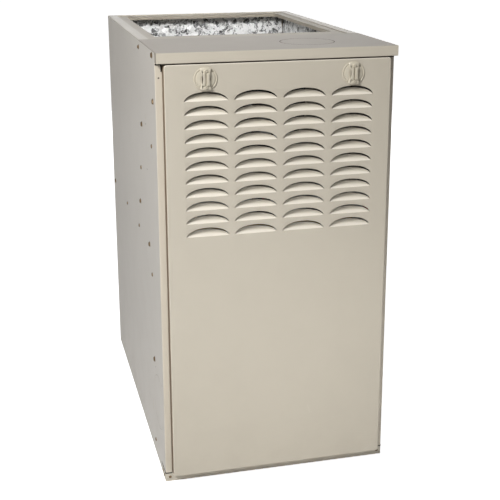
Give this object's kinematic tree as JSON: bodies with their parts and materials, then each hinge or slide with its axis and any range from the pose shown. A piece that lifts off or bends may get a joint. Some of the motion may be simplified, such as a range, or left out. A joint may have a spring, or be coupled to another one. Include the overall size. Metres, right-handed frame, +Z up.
{
  "type": "forced air gas furnace",
  "caption": "Upright beige steel gas furnace with a louvred lift-off door on quarter-turn latches, an open supply outlet at the top rear, and blower, heat cells, burners and controls inside.",
  "frame": {"origin": "under the middle of the whole footprint, door and latch knobs included, on the floor", "axes": "+X to the right seen from the front, +Y to the back, +Z up; the door faces -Y"},
  "size_m": [0.45, 0.762, 0.846],
  "materials": {
    "aluminised": "satin",
    "beigePaint": "satin",
    "blackPaint": "satin",
    "blackPlastic": "satin",
    "brass": "satin",
    "capPaint": "satin",
    "castAluminium": "satin",
    "ceramic": "matte",
    "circuitBoard": "satin",
    "copperWinding": "satin",
    "foil": "satin",
    "galvanised": "satin",
    "knobPlastic": "satin",
    "redPlastic": "gloss",
    "rubber": "matte",
    "sidePaint": "satin",
    "steelShaft": "polished",
    "whitePlastic": "satin"
  },
  "bodies": {
    "casing": {"side_panel_left": "sidePaint", "side_panel_right": "sidePaint", "back_panel": "sidePaint", "bottom_closure_panel": "galvanised", "front_base_rail": "beigePaint", "front_header_rail": "beigePaint", "top_cap": "capPaint", "plenum_collar": "capPaint", "foil_liner_left": "foil", "foil_liner_right": "foil", "foil_liner_back": "foil", "cell_panel": "aluminised", "blower_shelf": "galvanised", "blower_access_panel": "galvanised", "blower_scroll_wrap": "galvanised", "blower_side_left": "galvanised", "blower_side_right": "galvanised", "blower_motor": "blackPaint", "blower_motor_mount": "galvanised", "run_capacitor": "castAluminium", "heat_cell_1": "aluminised", "heat_cell_2": "aluminised", "heat_cell_3": "aluminised", "collector_box": "aluminised", "inducer_housing": "blackPaint", "inducer_motor": "galvanised", "burner_1": "aluminised", "burner_2": "aluminised", "burner_3": "aluminised", "burner_bracket": "galvanised", "gas_manifold": "brass", "gas_valve": "castAluminium", "gas_supply_pipe": "blackPaint", "gas_pipe_grommet": "rubber", "igniter": "ceramic", "flame_sensor": "ceramic", "rollout_switch": "blackPlastic", "limit_switch": "blackPlastic", "pressure_switch": "galvanised", "pressure_hose": "rubber", "door_switch": "blackPlastic", "control_box": "galvanised", "control_board": "circuitBoard", "transformer": "copperWinding", "junction_box": "galvanised"},
    "door": {"outer_door": "beigePaint", "latch_escutcheon_left": "knobPlastic", "latch_escutcheon_right": "knobPlastic", "door_switch_striker": "galvanised"},
    "latch_left": {"latch_knob_left": "knobPlastic"},
    "latch_right": {"latch_knob_right": "knobPlastic"},
    "blower_rotor": {"blower_wheel": "galvanised", "blower_shaft": "steelShaft"},
    "inducer_rotor": {"inducer_wheel": "galvanised", "inducer_cooling_fan": "blackPlastic"},
    "gas_knob": {"gas_valve_knob": "redPlastic"},
    "door_plunger": {"door_switch_plunger": "whitePlastic"},
    "reset_button": {"rollout_reset_button": "redPlastic"}
  },
  "joints": [
    {"name": "door_lift_off", "type": "slide", "parent": "casing", "child": "door", "axis": [0, -1, 0], "range_m": [0, 0.65]},
    {"name": "latch_left_turn", "type": "hinge", "parent": "door", "child": "latch_left", "pos_m": [-0.138, -0.36, 0.7985], "axis": [0, -1, 0], "range_deg": [0, 90]},
    {"name": "latch_right_turn", "type": "hinge", "parent": "door", "child": "latch_right", "pos_m": [0.138, -0.36, 0.7985], "axis": [0, 1, 0], "range_deg": [0, 90]},
    {"name": "blower_spin", "type": "hinge", "parent": "casing", "child": "blower_rotor", "pos_m": [0, 0.081, 0.235], "axis": [1, 0, 0], "continuous": true},
    {"name": "inducer_spin", "type": "hinge", "parent": "casing", "child": "inducer_rotor", "pos_m": [0.01, -0.25, 0.7], "axis": [0, 1, 0], "continuous": true},
    {"name": "gas_knob_turn", "type": "hinge", "parent": "casing", "child": "gas_knob", "pos_m": [0.1908, -0.325, 0.536], "axis": [0, -1, 0], "range_deg": [0, 90]},
    {"name": "door_plunger_slide", "type": "slide", "parent": "casing", "child": "door_plunger", "axis": [0, -1, 0], "range_m": [0, 0.006]},
    {"name": "reset_button_press", "type": "slide", "parent": "casing", "child": "reset_button", "axis": [0, 1, 0], "range_m": [0, 0.0015], "stiffness_N_per_m": 300, "springref_m": -0.0005}
  ],
  "couplings": [
    {"joint": "door_plunger_slide", "follows": "door_lift_off", "ratio": 0.00923}
  ]
}
